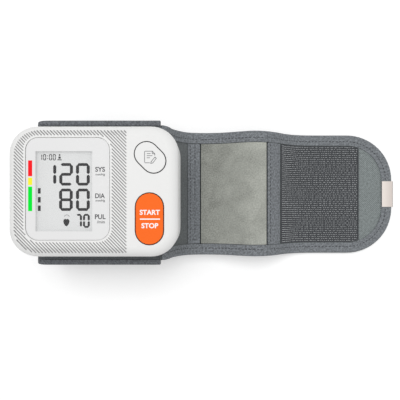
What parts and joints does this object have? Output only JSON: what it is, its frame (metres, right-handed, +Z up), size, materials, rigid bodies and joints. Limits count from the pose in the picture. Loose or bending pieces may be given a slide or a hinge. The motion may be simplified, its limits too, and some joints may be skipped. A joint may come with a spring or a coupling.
{
  "type": "wrist blood pressure monitor",
  "caption": "Wrist blood pressure monitor on a preformed C-shaped cuff, with a display, two buttons and a fold-back strap.",
  "frame": {"origin": "on the table, under the middle of the casing, in the cuff's flat underside", "axes": "+X along the strap towards its tip, +Y towards the top of the display, +Z up from the table"},
  "size_m": [0.2033, 0.077, 0.0725],
  "materials": {
    "casing_white": "satin",
    "window_panel": "gloss",
    "display": "smooth",
    "button_orange": "satin",
    "dark_plastic": "satin",
    "board_green": "satin",
    "steel": "brushed",
    "brass": "smooth",
    "cell_wrapper": "gloss",
    "hose_rubber": "matte",
    "shell_plastic": "satin",
    "bladder_rubber": "matte",
    "cuff_cloth": "woven",
    "binding_tape": "woven",
    "loop_velour": "napped",
    "hook_tape": "hooked",
    "end_twill": "twill",
    "clip_metal": "satin"
  },
  "bodies": {
    "monitor": {"front_cover": "casing_white", "rear_cover": "casing_white", "case_screw_1": "steel", "case_screw_2": "steel", "case_screw_3": "steel", "case_screw_4": "steel", "display_window": "window_panel", "display_glass": "display", "display_holder": "dark_plastic", "circuit_board": "board_green", "start_switch": "dark_plastic", "memory_switch": "dark_plastic", "buzzer": "dark_plastic", "pressure_sensor": "dark_plastic", "battery_1": "cell_wrapper", "battery_2": "cell_wrapper", "battery_spring_1": "steel", "battery_spring_2": "steel", "battery_link": "steel", "battery_terminal_1": "steel", "battery_terminal_2": "steel", "pump_motor": "steel", "pump_head": "dark_plastic", "release_valve": "brass", "air_tube": "hose_rubber", "cuff_nozzle": "casing_white", "cuff_mount_plate": "shell_plastic", "cuff_outer_cover": "cuff_cloth", "preformed_shell": "shell_plastic", "air_bladder": "bladder_rubber", "cuff_inner_lining": "cuff_cloth", "cuff_binding_front": "binding_tape", "cuff_binding_rear": "binding_tape", "ring_tab": "binding_tape", "strap_root_web": "binding_tape", "strap_root_binding_front": "binding_tape", "strap_root_binding_rear": "binding_tape", "seam_tape": "binding_tape"},
    "start_button_body": {"start_button": "button_orange"},
    "memory_button_body": {"memory_button": "casing_white"},
    "door": {"battery_door": "casing_white"},
    "ring": {"strap_ring": "dark_plastic"},
    "strap_middle": {"strap_mid_web": "binding_tape", "strap_mid_binding_front": "binding_tape", "strap_mid_binding_rear": "binding_tape", "loop_panel": "loop_velour"},
    "strap_outer": {"strap_end_web": "end_twill", "end_binding": "binding_tape", "fold_tape": "binding_tape", "hook_panel": "hook_tape", "end_clip": "clip_metal"}
  },
  "joints": [
    {"name": "start_press", "type": "slide", "parent": "monitor", "child": "start_button_body", "axis": [0, 0, -1], "range_m": [0, 0.0006], "stiffness_N_per_m": 1500},
    {"name": "memory_press", "type": "slide", "parent": "monitor", "child": "memory_button_body", "axis": [0, 0, -1], "range_m": [0, 0.0006], "stiffness_N_per_m": 1500},
    {"name": "door_slide", "type": "slide", "parent": "monitor", "child": "door", "axis": [-1, 0, 0], "range_m": [0, 0.014]},
    {"name": "ring_swing", "type": "hinge", "parent": "monitor", "child": "ring", "pos_m": [0.0076, 0, 0.00275], "axis": [0, -1, 0], "range_deg": [0, 90]},
    {"name": "strap_lift", "type": "hinge", "parent": "monitor", "child": "strap_middle", "pos_m": [0.0495, 0, 0.01395], "axis": [0, -1, 0], "range_deg": [0, 30]},
    {"name": "strap_fold", "type": "hinge", "parent": "strap_middle", "child": "strap_outer", "pos_m": [0.08688, 0, 0.02141], "axis": [0, -1, 0], "range_deg": [0, 110]}
  ]
}
